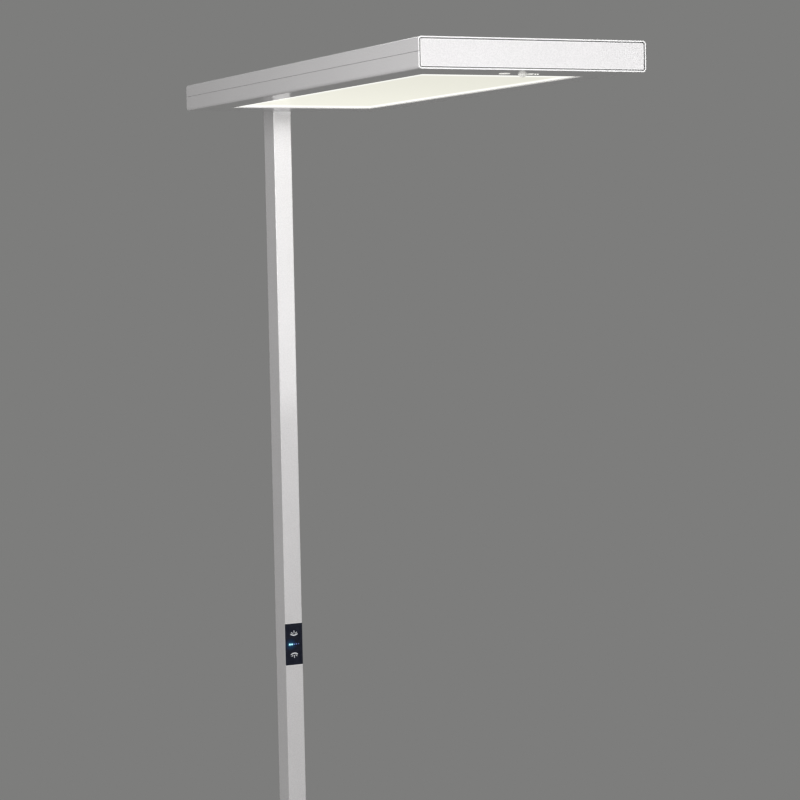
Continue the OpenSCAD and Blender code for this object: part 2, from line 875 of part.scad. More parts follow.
// circuit board on edge beside the light guide, with its LEDs facing the guide's edge
module edge_strip(s) {
    n = floor((diffuser_l - led_size) / edge_pitch);
    z_led = floor_z + diffuser_t + guide_t / 2;
    led_h = guide_t - 0.4;
    color("khaki") mirror([s < 0 ? 1 : 0, 0, 0]) {
        block([strip_x, head_yc - diffuser_l / 2, floor_z], [rail_x, head_yc + diffuser_l / 2, tray_z]);
        for (i = [0:n]) translate([strip_x, head_yc + (i - n / 2) * edge_pitch, z_led])
            block([-led_t, -led_size / 2, -led_h / 2], [0, led_size / 2, led_h / 2]);
    }
}

module edge_rail(s) {
    color("lightgray") mirror([s < 0 ? 1 : 0, 0, 0]) difference() {
        block([rail_x, tray_y0, floor_z], [rail_x + rail_t, tray_y1, tray_z]);
        at_tray_screws(1) cylinder(h = 2 * head_h, d = tray_screw_d, center = true);
    }
}

module at_tray_screws(s) {
    for (y = [tray_y0 + tray_screw_in, head_yc, tray_y1 - tray_screw_in])
        translate([s * (rail_x + rail_t / 2), y, deck_z]) children();
}

// folded tray that ties the rails, the end plates and the bracket together
module chassis_tray() {
    hole_d = tray_screw_d + 2 * screw_slack;
    color("lightsteelblue") difference() {
        block([-tray_w / 2 - tray_t, tray_y0, tray_z], [tray_w / 2 + tray_t, tray_y1, tray_z + tray_flange]);
        block([-tray_w / 2, tray_y0 + tray_t, deck_z], [tray_w / 2, tray_y1 - tray_t, total_h]);
        for (s = [-1, 1]) at_tray_screws(s) cylinder(h = 4 * tray_t, d = hole_d, center = true);
        at_arm_bolts() cylinder(h = 4 * arm_t, d = arm_bolt_d + 2 * screw_slack, center = true);
        for (s = [-1, 1]) at_end(s) at_studs() along_y(0, 4 * plate_in) circle(d = stud_d + 2 * screw_slack);
        arm_slot(tray_y1 - tray_t - 1, tray_y1 + 1, deck_z, total_h);
        // clearances for the sensor board and for the leads of the edge strips
        at_sensor(0) block([board_x0 - 1, -board_l / 2 - 1, 0], [board_x1 + 1, board_l / 2 + 1, head_h]);
        at_edge_leads() cylinder(h = 2 * tray_flange, d = 6 * strip_wire_r, center = true);
    }
}

module tray_screws() {
    color("gainsboro") for (s = [-1, 1]) at_tray_screws(s)
        pan_screw(tray_screw_d - screw_slack, tray_screw_head, tray_screw_head_h, tray_t + tray_screw_bite);
}

module at_uplight_strips() {
    spread = tray_w / 2 / up_strips;
    for (s = [-1, 1], k = [0:up_strips - 1])
        translate([s * (k + 0.5) * spread, head_yc, deck_z]) children();
}

module uplight_strips() {
    n = floor(window_l / up_pitch) - 1;
    color("khaki") at_uplight_strips() {
        block([-up_strip_w / 2, -window_l / 2, 0], [up_strip_w / 2, window_l / 2, strip_t]);
        for (i = [0:n]) translate([0, (i - n / 2) * up_pitch, strip_t])
            block([-led_size / 2, -led_size / 2, 0], [led_size / 2, led_size / 2, led_t]);
    }
}

module uplight_diffuser() {
    color("white") translate([0, head_yc, roof_z - diffuser_t]) linear_extrude(diffuser_t)
        round_rect(diffuser_w, diffuser_l, window_r + diffuser_lap);
}

// strips under the upper shell that the upper diffuser slides into
module uplight_retainers() {
    x0 = diffuser_w / 2 + part_fit;
    low = roof_z - diffuser_t - part_fit - retainer_t;
    color("lightgray") for (s = [-1, 1]) mirror([s < 0 ? 1 : 0, 0, 0]) {
        block([x0, head_yc - diffuser_l / 2, low], [x0 + retainer_w, head_yc + diffuser_l / 2, roof_z]);
        block([x0 - diffuser_lap + 1, head_yc - diffuser_l / 2, low],
              [x0, head_yc + diffuser_l / 2, low + retainer_t]);
    }
}

// ---- head: drivers and wiring ----

// each driver feeds the strips on its own side
module driver(s) {
    x1 = driver_x0 + driver_l;
    color("whitesmoke") mirror([s < 0 ? 1 : 0, 0, 0]) difference() {
        block([driver_x0, driver_y0, deck_z], [x1, driver_y1, deck_z + driver_h]);
        // steps for the terminals at both ends
        for (x = [driver_x0 - 1, x1 - driver_step])
            block([x, driver_y0 - 1, driver_step_z], [x + driver_step + 1, driver_y1 + 1, total_h]);
    }
}

module driver_plug() {
    color("white") block([-plug_w / 2, plug_y0, arm_top], [plug_w / 2, plug_y1, arm_top + plug_h]);
}

module driver_leads() {
    reach = driver_x0 + driver_step - plug_w / 2;
    color("sienna") for (s = [-1, 1], y = [plug_y0 + plug_lead_in, plug_y1 - plug_lead_in])
        translate([s * plug_w / 2, y, driver_step_z + wire_r + cable_gap])
            rotate([0, s * 90, 0]) cylinder(h = reach, r = wire_r);
}

// where the leads of the edge strips pass through the tray
module at_edge_leads() {
    for (s = [-1, 1]) translate([s * (strip_x + strip_t / 2), edge_lead_y, tray_z]) children();
}

module strip_leads() {
    r = strip_wire_r;
    lead_z = floor_z + strip_h / 2;
    x = strip_x + strip_t / 2;
    color("sienna") {
        at_uplight_strips() for (x = [-strip_lead_x, strip_lead_x])
            translate([x, -head_yc, strip_t / 2]) along_y(head_yc + window_l / 2, driver_y0) circle(r);
        for (s = [-1, 1]) mirror([s < 0 ? 1 : 0, 0, 0]) translate([x, 0, 0]) {
            translate([0, 0, lead_z]) along_y(head_yc + diffuser_l / 2, edge_lead_y - edge_turn) circle(r);
            translate([0, edge_lead_y, lead_z + edge_turn]) mirror([0, 0, 1]) bend(edge_turn, r);
            translate([0, edge_lead_y, lead_z + edge_turn])
                cylinder(h = edge_lead_z - lead_z - 2 * edge_turn, r = r);
            translate([0, edge_lead_y, edge_lead_z - edge_turn]) rotate([0, 0, -90]) bend(edge_turn, r);
            translate([-edge_turn, edge_lead_y, edge_lead_z]) rotate([0, -90, 0])
                cylinder(h = x - edge_turn - driver_x0 - driver_l, r = r);
        }
    }
}

// ---- head: sensors ----

module at_sensor(x) {
    translate([x, head_y0 + sensor_y, head_z]) children();
}

// half outline of a spherical cap that hangs below zero, with rim diameter d and height drop
module dome_outline(d, drop) {
    r = (d * d / 4 + drop * drop) / (2 * drop);
    intersection() {
        translate([0, r - drop]) circle(r, $fn = 96);
        translate([0, -drop - 1]) square([d, drop + 1]);
    }
}

module motion_lens() {
    bore = lens_d - 2 * lens_wall;
    color("whitesmoke") at_sensor(lens_x) rotate_extrude() difference() {
        union() {
            dome_outline(lens_d - 2 * lens_step, lens_drop);
            square([lens_d / 2, sheet_t]);
            translate([0, sheet_t]) square([lens_d / 2 + rim_out, rim_t]);
        }
        dome_outline(bore - 2 * lens_step, lens_drop - lens_wall);
        square([bore / 2, sheet_t + rim_t + 1]);
    }
}

// metal can of the motion sensor, under the sensor board
module motion_detector() {
    color("silver") at_sensor(lens_x) translate([0, 0, board_z]) mirror([0, 0, 1]) {
        cylinder(h = can_h, d = can_d);
        cylinder(h = can_rim_t, d = can_d + 1);
    }
}

module daylight_window() {
    color("white") at_sensor(-daylight_x) {
        translate([0, 0, -window_proud]) cylinder(h = sheet_t + window_proud, d = daylight_d);
        translate([0, 0, sheet_t]) cylinder(h = rim_t, d = daylight_d + 2 * rim_out);
    }
}

// small window beside the motion sensor
module status_outline(grow) {
    round_rect(status_l + 2 * grow, status_w + 2 * grow, status_r + grow);
}

module status_window() {
    color("white") at_sensor(status_x) {
        translate([0, 0, -window_proud]) linear_extrude(sheet_t + window_proud) status_outline(0);
        translate([0, 0, sheet_t]) linear_extrude(rim_t) status_outline(status_lap);
    }
}

module at_lights() {
    for (s = [-1, 1]) at_sensor(lights_x + s * light_pitch / 2) children();
}

// two light pins on one strip above the sheet
module status_lights() {
    half_l = light_pitch / 2 + light_d / 2 + light_lap;
    half_w = light_d / 2 + light_lap;
    color("white") {
        at_lights() translate([0, 0, -light_proud]) cylinder(h = sheet_t + light_proud, d = light_d);
        at_sensor(lights_x) block([-half_l, -half_w, sheet_t], [half_l, half_w, sheet_t + rim_t]);
    }
}

module sensor_board() {
    socket_x = board_x0 + socket_w / 2;
    color("darkgreen") {
        at_sensor(0) translate([0, 0, board_z])
            block([board_x0, -board_l / 2, 0], [board_x1, board_l / 2, board_t]);
        // photodiode and status LEDs hang under the board, the cable's socket stands on it
        at_sensor(-daylight_x) block([-2, -2, board_z - 1.2], [2, 2, board_z]);
        at_sensor(status_x) block([-1, -1, board_z - 1], [1, 1, board_z]);
        at_lights() block([-0.8, -0.8, board_z - 1], [0.8, 0.8, board_z]);
        at_sensor(socket_x) translate([0, 0, board_z + board_t])
            block([-socket_w / 2, -socket_w / 2, 0], [socket_w / 2, socket_w / 2, socket_h]);
    }
}

module sensor_standoffs() {
    y = board_l / 2 - standoff_in;
    color("gainsboro") for (x = [board_x0 + standoff_in, board_x1 - standoff_in], sy = [-1, 1])
        at_sensor(x) translate([0, sy * y, sheet_t]) cylinder(h = sensor_rise, d = standoff_d);
}

// cable from the sensor board along the tray's side to the left driver
module sensor_cable() {
    r = sensor_cable_r;
    z = board_z + board_t + socket_h / 2;
    x_run = sensor_cable_in - tray_w / 2;
    x_turned = x_run + sensor_turn;
    y_start = head_y0 + sensor_y;
    y_end = driver_y0 + driver_w / 2;
    color("white") translate([0, 0, head_z + z]) {
        translate([x_turned, y_start, 0]) rotate([0, 90, 0]) cylinder(h = board_x0 - x_turned, r = r);
        translate([x_turned, y_start + sensor_turn, 0]) rotate([0, 0, 180])
            rotate_extrude(angle = 90) translate([sensor_turn, 0]) circle(r);
        translate([x_run, 0, 0]) along_y(y_start + sensor_turn, y_end - sensor_turn) circle(r);
        translate([x_turned, y_end - sensor_turn, 0]) rotate([0, 0, 90])
            rotate_extrude(angle = 90) translate([sensor_turn, 0]) circle(r);
        translate([x_turned, y_end, 0]) rotate([0, 90, 0])
            cylinder(h = -driver_x0 - driver_l - x_turned, r = r);
    }
}

// ---- the nodes ----

base_plate();
rubber_feet();
base_screws();
mast_tube();
mast_cap();
mains_bushing();
terminal_block();
riser_cable();
control_lead();
head_bracket();
bracket_screws();
arm_bolts();
control_fascia();
control_housing();
control_board();
level_light_guide();
key(1);  // dim_up_key
key(-1);  // dim_down_key
plunger(1);  // dim_up_plunger
plunger(-1);  // dim_down_plunger
lower_shell();
upper_shell();
front_end_plate();
rear_end_plate();
end_plate_nuts();
cover_posts();
cover_screws();
downlight_diffuser();
light_guide();
reflector_film();
edge_strip(-1);  // edge_strip_left
edge_strip(1);  // edge_strip_right
edge_rail(-1);  // edge_rail_left
edge_rail(1);  // edge_rail_right
chassis_tray();
tray_screws();
uplight_strips();
uplight_diffuser();
uplight_retainers();
driver(-1);  // driver_left
driver(1);  // driver_right
driver_plug();
driver_leads();
strip_leads();
motion_lens();
motion_detector();
daylight_window();
status_window();
status_lights();
sensor_board();
sensor_standoffs();
sensor_cable();
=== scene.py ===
import math

import bmesh
import bpy
from mathutils import Matrix, Vector


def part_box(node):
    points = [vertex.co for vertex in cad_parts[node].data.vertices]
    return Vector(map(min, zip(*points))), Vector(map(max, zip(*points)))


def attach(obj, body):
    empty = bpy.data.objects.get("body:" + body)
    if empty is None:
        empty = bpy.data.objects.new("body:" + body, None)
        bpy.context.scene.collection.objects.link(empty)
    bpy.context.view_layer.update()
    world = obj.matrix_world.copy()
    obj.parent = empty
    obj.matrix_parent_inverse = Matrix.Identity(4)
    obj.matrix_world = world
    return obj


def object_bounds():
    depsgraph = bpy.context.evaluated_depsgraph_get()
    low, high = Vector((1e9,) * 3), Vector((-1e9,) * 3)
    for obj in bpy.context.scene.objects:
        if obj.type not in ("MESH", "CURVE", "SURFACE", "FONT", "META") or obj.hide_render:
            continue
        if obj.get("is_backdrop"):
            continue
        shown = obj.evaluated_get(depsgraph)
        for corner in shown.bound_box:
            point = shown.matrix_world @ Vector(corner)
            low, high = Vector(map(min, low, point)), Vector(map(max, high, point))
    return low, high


# Office floor lamp: finishes, printed symbols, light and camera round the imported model.
# Metres, +Z up, the free end of the head points along -Y.

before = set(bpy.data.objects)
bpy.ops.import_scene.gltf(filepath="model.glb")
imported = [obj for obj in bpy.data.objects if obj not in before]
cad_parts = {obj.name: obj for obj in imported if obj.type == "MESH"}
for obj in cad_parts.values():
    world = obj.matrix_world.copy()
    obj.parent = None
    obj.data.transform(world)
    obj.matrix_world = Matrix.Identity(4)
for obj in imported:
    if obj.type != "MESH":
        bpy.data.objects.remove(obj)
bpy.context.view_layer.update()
MM = 0.001


# ---------------------------------------------------------------- small helpers


def colour(hex_code):
    """An sRGB hex colour as the linear colour that the shaders take."""
    parts = [int(hex_code[i : i + 2], 16) / 255 for i in (1, 3, 5)]
    return (*(c / 12.92 if c <= 0.04045 else ((c + 0.055) / 1.055) ** 2.4 for c in parts), 1.0)


def add(tree, kind, settings={}, values={}, links={}):
    """Adds one node, with its own settings, the values of its inputs, and the outputs that feed it."""
    node = tree.nodes.new("ShaderNode" + kind)
    for name, value in settings.items():
        setattr(node, name, value)
    for name, value in values.items():
        node.inputs[name].default_value = value
    for name, output in links.items():
        tree.links.new(output, node.inputs[name])
    return node


def new_material(name):
    """An empty material with its output, the object coordinates and a plain shader."""
    material = bpy.data.materials.new(name)
    material.use_nodes = True
    tree = material.node_tree
    tree.nodes.clear()
    shader = add(tree, "BsdfPrincipled")
    add(tree, "OutputMaterial", links={"Surface": shader.outputs["BSDF"]})
    place = add(tree, "TexCoord").outputs["Object"]
    return material, tree, shader, place


def set_ramp(ramp, stops):
    """Gives a colour ramp its stops, as pairs of position and colour."""
    while len(ramp.elements) > 1:
        ramp.elements.remove(ramp.elements[-1])
    ramp.elements[0].position, ramp.elements[0].color = stops[0]
    for position, tint in stops[1:]:
        ramp.elements.new(position).color = tint


# ---------------------------------------------------------------- camera


def place_camera():
    """The camera stands where the photograph was taken, a little below the head."""
    yaw, pitch, roll = math.radians(24.583), math.radians(-4.191), -0.0191
    ahead = Vector((math.sin(yaw) * math.cos(pitch), math.cos(yaw) * math.cos(pitch), math.sin(pitch)))
    level = ahead.cross(Vector((0, 0, 1))).normalized()
    upright = level.cross(ahead)
    right = math.cos(roll) * level + math.sin(roll) * upright
    up = math.cos(roll) * upright - math.sin(roll) * level
    data = bpy.data.cameras.new("photo_camera")
    data.sensor_width = 36
    data.lens = 99.28
    data.clip_start, data.clip_end = 0.05, 60
    camera = bpy.data.objects.new("photo_camera", data)
    bpy.context.collection.objects.link(camera)
    turn = Matrix((right, up, -ahead)).transposed()
    camera.matrix_world = Matrix.Translation((-1.2288, -2.7299, 1.7207)) @ turn.to_4x4()
    bpy.context.scene.camera = camera


place_camera()


# ---------------------------------------------------------------- patterns


def outside_box(tree, place, middle, half):
    """How far a point is outside a box, in metres."""
    apart = add(tree, "VectorMath", {"operation": "SUBTRACT"}, {1: middle}, {0: place})
    size = add(tree, "VectorMath", {"operation": "ABSOLUTE"}, links={0: apart.outputs["Vector"]})
    over = add(tree, "VectorMath", {"operation": "SUBTRACT"}, {1: half}, {0: size.outputs["Vector"]})
    beyond = add(tree, "VectorMath", {"operation": "MAXIMUM"}, links={0: over.outputs["Vector"]})
    far = add(tree, "VectorMath", {"operation": "LENGTH"}, links={0: beyond.outputs["Vector"]})
    return far.outputs["Value"]


def fall(tree, value, start, end, high=1.0, low=0.0):
    """Goes smoothly from high at start to low at end."""
    node = add(
        tree,
        "MapRange",
        {"interpolation_type": "SMOOTHSTEP"},
        {"From Min": start, "From Max": end, "To Min": high, "To Max": low},
        {"Value": value},
    )
    return node.outputs["Result"]


def times(tree, tint, factor):
    """A colour made lighter or darker by a factor."""
    node = add(tree, "VectorMath", {"operation": "SCALE"}, {0: tint[:3]}, {"Scale": factor})
    return node.outputs["Vector"]


def blend(tree, factor, tint, other):
    """From tint at factor 0 to other at factor 1, each a colour or an output."""
    values, links = {}, {"Factor": factor}
    for socket, source in (("A", tint), ("B", other)):
        (values if isinstance(source, tuple) else links)[socket] = source
    node = tree.nodes.new("ShaderNodeMix")
    node.data_type = "RGBA"
    inputs = {i.name: i for i in node.inputs if i.enabled}
    for name, value in values.items():
        inputs[name].default_value = value
    for name, output in links.items():
        tree.links.new(output, inputs[name])
    return next(o for o in node.outputs if o.enabled)


# ---------------------------------------------------------------- places and sizes

# in metres, from the model where it has them
DIFFUSER_LAP = 5 * MM
SHEET = 1.5 * MM
LIGHT_PITCH = 3.5 * MM
up_low, up_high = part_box("dim_up_key")
down_low, down_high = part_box("dim_down_key")
PANEL_FRONT = up_low[1]
PANEL_Z = (up_low[2] + down_high[2]) / 2
head_low, head_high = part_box("lower_shell")[0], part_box("upper_shell")[1]
head_middle = (Vector(head_low) + Vector(head_high)) / 2
head_half = (Vector(head_high) - Vector(head_low)) / 2
GROOVE = 1.4 * MM
plate_half = head_half - Vector((SHEET + GROOVE, 0, SHEET + GROOVE))
fascia_low, fascia_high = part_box("control_fascia")
fascia_middle = (Vector(fascia_low) + Vector(fascia_high)) / 2
fascia_half = (Vector(fascia_high) - Vector(fascia_low)) / 2


# ---------------------------------------------------------------- finishes


def silver_powder_coat(name, tint, flake_mm, peel_mm=2.4, marks=()):
    """Polyester powder coat with aluminium flake on aluminium or steel: pale silver, satin, finely
    sparkling, and mirror-like only where it is seen almost edge on. Real flake is below
    0.1 mm, and it is drawn coarser, so that it shows. Each mark is a place and its tint."""
    material, tree, shader, place = new_material(name)
    flake = add(
        tree,
        "TexNoise",
        values={"Scale": 1 / (flake_mm * MM), "Detail": 3.0, "Roughness": 0.8},
        links={"Vector": place},
    )
    cloud = add(tree, "TexNoise", values={"Scale": 9.0, "Detail": 2.0}, links={"Vector": place})
    shade = add(
        tree,
        "MapRange",
        values={"From Min": 0.4, "From Max": 0.6, "To Min": 0.93, "To Max": 1.07},
        links={"Value": flake.outputs["Fac"]},
    )
    drift = add(
        tree,
        "MapRange",
        values={"From Min": 0.3, "From Max": 0.7, "To Min": 0.985, "To Max": 1.015},
        links={"Value": cloud.outputs["Fac"]},
    )
    both = add(tree, "Math", {"operation": "MULTIPLY"}, links={0: shade.outputs["Result"], 1: drift.outputs["Result"]})
    base = times(tree, colour(tint), both.outputs["Value"])
    for where, mark in marks:
        base = blend(tree, where(tree, place), base, colour(mark))
    tree.links.new(base, shader.inputs["Base Color"])
    peel = add(tree, "TexNoise", values={"Scale": 1 / (peel_mm * MM), "Detail": 1.0}, links={"Vector": place})
    bump = add(tree, "Bump", values={"Strength": 0.06, "Distance": 0.0002}, links={"Height": peel.outputs["Fac"]})
    tree.links.new(bump.outputs["Normal"], shader.inputs["Normal"])
    shader.inputs["Metallic"].default_value = 0.35
    shader.inputs["Roughness"].default_value = 0.42
    shader.inputs["Coat Weight"].default_value = 0.8
    shader.inputs["Coat Roughness"].default_value = 0.08
    return material


def grained(name, tint, rough, metal=0.0, grain_mm=2.0, relief=0.05, spread=0.06, stretch=(1, 1, 1), other=None):
    """A moulded, drawn, cast or plated finish: fine grain in its shade, its gloss and its relief."""
    material, tree, shader, place = new_material(name)
    grid = add(tree, "Mapping", values={"Scale": stretch}, links={"Vector": place})
    grain = add(
        tree,
        "TexNoise",
        values={"Scale": 1 / (grain_mm * MM), "Detail": 3.0},
        links={"Vector": grid.outputs["Vector"]},
    )
    shade = add(
        tree,
        "MapRange",
        values={"From Min": 0.3, "From Max": 0.7, "To Min": 1 - spread, "To Max": 1 + spread},
        links={"Value": grain.outputs["Fac"]},
    )
    base = times(tree, colour(tint), shade.outputs["Result"])
    if other:
        patch = add(tree, "TexNoise", values={"Scale": 0.2 / (grain_mm * MM)}, links={"Vector": place})
        base = blend(tree, fall(tree, patch.outputs["Fac"], 0.35, 0.65), base, colour(other))
    gloss = add(
        tree,
        "MapRange",
        values={"From Min": 0.3, "From Max": 0.7, "To Min": rough * 0.85, "To Max": rough * 1.15},
        links={"Value": grain.outputs["Fac"]},
    )
    bump = add(tree, "Bump", values={"Strength": relief, "Distance": 0.0002}, links={"Height": grain.outputs["Fac"]})
    tree.links.new(base, shader.inputs["Base Color"])
    tree.links.new(gloss.outputs["Result"], shader.inputs["Roughness"])
    tree.links.new(bump.outputs["Normal"], shader.inputs["Normal"])
    shader.inputs["Metallic"].default_value = metal
    return material


def lit_opal_acrylic():
    """Satin opal acrylic, lit from its edges: warm white, brighter along its rim."""
    low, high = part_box("downlight_diffuser")
    middle = (Vector(low) + Vector(high)) / 2
    half_x, half_y = ((high[i] - low[i]) / 2 - DIFFUSER_LAP for i in (0, 1))
    material, tree, shader, place = new_material("satin_opal_acrylic_lit")
    apart = add(tree, "VectorMath", {"operation": "SUBTRACT"}, {1: middle}, {0: place})
    size = add(tree, "VectorMath", {"operation": "ABSOLUTE"}, links={0: apart.outputs["Vector"]})
    inside = add(tree, "VectorMath", {"operation": "SUBTRACT"}, {0: (half_x, half_y, 0)}, {1: size.outputs["Vector"]})
    depth = add(tree, "SeparateXYZ", links={"Vector": inside.outputs["Vector"]})
    sides = fall(tree, depth.outputs["X"], 10 * MM, 21 * MM)
    ends = fall(tree, depth.outputs["Y"], 27 * MM, 44 * MM)
    rim = add(tree, "Math", {"operation": "MAXIMUM"}, links={0: sides, 1: ends}).outputs["Value"]
    cells = add(tree, "TexVoronoi", values={"Scale": 1 / (3 * MM)}, links={"Vector": place})
    axes = add(tree, "SeparateXYZ", links={"Vector": apart.outputs["Vector"]})
    along = fall(tree, axes.outputs["Y"], -half_y, half_y, 0.97, 1.08)
    grain = fall(tree, cells.outputs["Distance"], 0.0, 0.8, 1.012, 0.988)
    level = add(tree, "Math", {"operation": "MULTIPLY"}, links={0: grain, 1: along})
    glow = blend(tree, rim, colour("#dfded2"), colour("#fffffa"))
    lit = add(tree, "VectorMath", {"operation": "SCALE"}, links={0: glow, "Scale": level.outputs["Value"]})
    tree.links.new(lit.outputs["Vector"], shader.inputs["Emission Color"])
    shader.inputs["Emission Strength"].default_value = 1.0
    shader.inputs["Base Color"].default_value = colour("#77766f")
    shader.inputs["Roughness"].default_value = 0.45
    return material


def smoked_cover():
    """Gloss black polycarbonate, moulded: near-black with a blue cast. The level lights behind it
    spread a little light into it."""
    material, tree, shader, place = new_material("smoked_gloss_polycarbonate")
    haze = add(tree, "TexNoise", values={"Scale": 120.0, "Detail": 3.0}, links={"Vector": place})
    spots = fall(tree, haze.outputs["Fac"], 0.3, 0.7, 0.85, 1.15)
    tree.links.new(times(tree, colour("#0a1022"), spots), shader.inputs["Base Color"])
    gloss = fall(tree, haze.outputs["Fac"], 0.3, 0.7, 0.14, 0.22)
    tree.links.new(gloss, shader.inputs["Roughness"])
    total = None
    for x, reach, tint in (
        (-LIGHT_PITCH * 2, 3.0, "#8fecff"),
        (-LIGHT_PITCH * 1, 2.6, "#86dcf8"),
        (-LIGHT_PITCH * 1.5, 11.0, "#002b4a"),
    ):
        spot = (x, PANEL_FRONT, PANEL_Z)
        far = add(tree, "VectorMath", {"operation": "DISTANCE"}, {1: spot}, {0: place})
        near = fall(tree, far.outputs["Value"], 0.0, reach * MM)
        part = times(tree, colour(tint), near)
        if total is None:
            total = part
        else:
            total = add(tree, "VectorMath", {"operation": "ADD"}, links={0: total, 1: part}).outputs["Vector"]
    tree.links.new(total, shader.inputs["Emission Color"])
    shader.inputs["Emission Strength"].default_value = 1.0
    return material


def level_light_acrylic():
    """Clear acrylic light guide behind the level lights: the first two are lit bright, the rest dimly."""
    material, tree, shader, place = new_material("level_light_acrylic")
    axes = add(tree, "SeparateXYZ", links={"Vector": place})
    ramp = add(tree, "ValToRGB")
    step = add(
        tree,
        "MapRange",
        values={"From Min": -2.5 * LIGHT_PITCH, "From Max": 2.5 * LIGHT_PITCH},
        links={"Value": axes.outputs["X"]},
    )
    tree.links.new(step.outputs["Result"], ramp.inputs["Fac"])
    ramp.color_ramp.interpolation = "CONSTANT"
    set_ramp(
        ramp.color_ramp,
        [
            (0.0, colour("#d2ffff")),
            (0.2, colour("#c4f6ff")),
            (0.4, colour("#5f7fb4")),
            (0.6, colour("#5a6aa6")),
            (0.8, colour("#43507c")),
        ],
    )
    tree.links.new(ramp.outputs["Color"], shader.inputs["Emission Color"])
    shader.inputs["Emission Strength"].default_value = 2.0
    shader.inputs["Base Color"].default_value = colour("#20242c")
    shader.inputs["Roughness"].default_value = 0.2
    return material


def solder_mask(name, tint, track, led_box=None):
    """Screen-printed solder mask over copper on glass epoxy board: satin, with the tracks just
    visible under it. Where the board carries LEDs, their yellow phosphor is coloured in."""
    material, tree, shader, place = new_material(name)
    cells = add(
        tree,
        "TexVoronoi",
        {"feature": "DISTANCE_TO_EDGE", "distance": "EUCLIDEAN"},
        {"Scale": 1 / (4 * MM), "Randomness": 0.6},
        {"Vector": place},
    )
    lines = fall(tree, cells.outputs["Distance"], 0.05, 0.1)
    base = blend(tree, lines, colour(tint), colour(track))
    if led_box:
        leds = fall(tree, outside_box(tree, place, *led_box), 0.0, 0.02 * MM)
        base = blend(tree, leds, base, colour("#e8c650"))
    tree.links.new(base, shader.inputs["Base Color"])
    shader.inputs["Roughness"].default_value = 0.38
    return material


def fresnel_lens_polyethylene():
    """Milky high-density polyethylene, moulded with small lens facets on its inside, which show
    through as a net of faint lines."""
    low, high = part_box("motion_lens")
    middle = (Vector(low) + Vector(high)) / 2
    material, tree, shader, place = new_material("facetted_polyethylene")
    apart = add(tree, "VectorMath", {"operation": "SUBTRACT"}, {1: middle}, {0: place})
    cells = add(
        tree,
        "TexVoronoi",
        {"feature": "DISTANCE_TO_EDGE"},
        {"Scale": 1 / (2.4 * MM), "Randomness": 0.25},
        {"Vector": apart.outputs["Vector"]},
    )
    groove = fall(tree, cells.outputs["Distance"], 0.02, 0.12)
    base = blend(tree, groove, colour("#f4f3ef"), colour("#c9c8c2"))
    tree.links.new(base, shader.inputs["Base Color"])
    bump = add(
        tree,
        "Bump",
        {"invert": True},
        {"Strength": 0.3, "Distance": 0.0003},
        {"Height": groove},
    )
    tree.links.new(bump.outputs["Normal"], shader.inputs["Normal"])
    shader.inputs["Roughness"].default_value = 0.2
    # a faint painted glow lightens the lens; nothing behind it gives light
    shader.inputs["Emission Color"].default_value = colour("#f4f3ef")
    shader.inputs["Emission Strength"].default_value = 0.28
    return material


def dress(material, *nodes):
    """Gives CAD nodes one finish."""
    for node in nodes:
        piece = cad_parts[node]
        piece.data.materials.clear()
        piece.data.materials.append(material)


# ---------------------------------------------------------------- finishes on the model


def shell_end_painted_highlight(tree, place):
    """Painted highlight: a thin near-white band on the shells' sawn ends round the end plates."""
    kept = (1.0, head_half.y - 0.3 * MM, 1.0)
    return fall(tree, outside_box(tree, place, tuple(head_middle), kept), 0.0, 0.1 * MM, 0.0, 1.0)


def shell_inside_painted_shade(tree, place):
    """Painted shade: the inside faces of the shells are drawn dark grey."""
    inside = (head_half.x - SHEET + 0.1 * MM, 1.0, head_half.z - SHEET + 0.1 * MM)
    return fall(tree, outside_box(tree, place, tuple(head_middle), inside), 0.0, 0.1 * MM)


def underside_painted_shade(tree, place):
    """Painted shade: the underside is drawn a shade greyer than the sides."""
    above = (1.0, 1.0, head_half.z - 0.2 * MM)
    lifted = (head_middle.x, head_middle.y, head_middle.z + 0.5 * MM)
    return fall(tree, outside_box(tree, place, lifted, above), 0.0, 0.2 * MM, 0.0, 1.0)


def groove_painted_shade(tree, place):
    """Painted shade: the flange and the sides of an end plate, down in the groove, are drawn dark grey."""
    deep = (1.0, head_half.y - 1.3 * MM, 1.0)
    return fall(tree, outside_box(tree, place, tuple(head_middle), deep), 0.0, 0.3 * MM)


def plate_edge_painted_highlight(tree, place):
    """Painted highlight: a thin near-white line along the edges of an end plate."""
    flat = (plate_half.x - 0.7 * MM, 1.0, plate_half.z - 0.7 * MM)
    return fall(tree, outside_box(tree, place, tuple(head_middle), flat), 0.0, 0.3 * MM, 0.0, 1.0)


def panel_rim_painted_highlight(tree, place):
    """Painted highlight: a thin near-white line round the control panel."""
    gap = outside_box(tree, place, tuple(fascia_middle), (fascia_half.x, 2 * MM, fascia_half.z))
    return fall(tree, gap, 0.9 * MM, 1.2 * MM)


dress(silver_powder_coat("silver_powder_coat", "#dddbdc", 1.5), "mast_cap")
# the end plates get a painted highlight along their edges and painted shade in their grooves
dress(
    silver_powder_coat(
        "silver_powder_coat_plate", "#dddbdc", 1.5, marks=((plate_edge_painted_highlight, "#fbfafa"), (groove_painted_shade, "#47484a"))
    ),
    "front_end_plate",
    "rear_end_plate",
)
# the shells get painted shade underneath and on their inside faces, and a painted highlight on their sawn ends
dress(
    silver_powder_coat(
        "silver_powder_coat_shell",
        "#dddbdc",
        1.5,
        marks=((underside_painted_shade, "#c4c2c3"), (shell_inside_painted_shade, "#66676a"), (shell_end_painted_highlight, "#f7f6f6")),
    ),
    "lower_shell",
    "upper_shell",
)
# the mast gets a painted highlight round its control panel
dress(silver_powder_coat("silver_powder_coat_mast", "#dddbdc", 1.5, marks=((panel_rim_painted_highlight, "#f7f6f6"),)), "mast_tube")
# the base plate's steel gets the coat thicker, with a coarser orange peel
dress(silver_powder_coat("silver_powder_coat_on_steel", "#cfcecf", 1.8, peel_mm=3.5), "base_plate")

